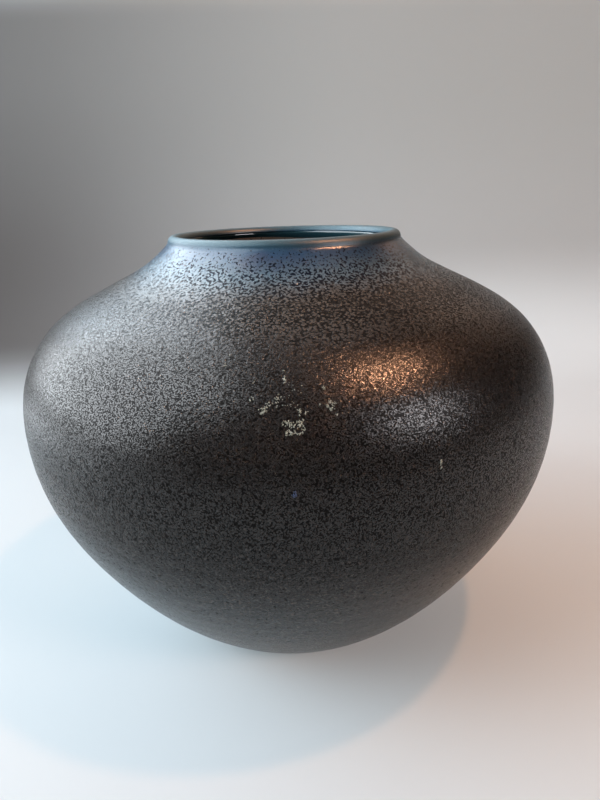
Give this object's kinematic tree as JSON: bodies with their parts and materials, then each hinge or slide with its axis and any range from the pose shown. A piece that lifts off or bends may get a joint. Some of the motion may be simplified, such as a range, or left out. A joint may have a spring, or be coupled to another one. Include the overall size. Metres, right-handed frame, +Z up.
{
  "type": "round-bellied jar",
  "caption": "Wide-shouldered round jar with a short rolled neck and a small foot ring, glazed dark with a blue neck; stands free and holds stems or dry goods.",
  "frame": {"origin": "centre of the foot ring's underside, on the turning axis", "axes": "+Z up along the turning axis; -Y is the front, where the pale flecks are"},
  "size_m": [0.27, 0.2702, 0.216],
  "materials": {
    "bare_clay": "bare fired stoneware, dry and slightly gritty",
    "dark_glaze": "brown-black iron glaze, satin, finely pitted",
    "blue_glaze": "cobalt blue glaze, satin, thinning to tan where it meets the dark coat",
    "liner_glaze": "glossy blue-black liner",
    "pale_crystal": "matt pale yellow crystals"
  },
  "bodies": {
    "root": {"foot_ring": "bare_clay", "floor_disc": "bare_clay", "lower_wall": "bare_clay", "upper_wall": "bare_clay", "neck_collar": "bare_clay", "rolled_lip": "bare_clay", "body_glaze": "dark_glaze", "neck_glaze": "blue_glaze", "liner_glaze": "liner_glaze", "pale_flecks": "pale_crystal", "blue_speck": "blue_glaze"}
  },
  "joints": []
}
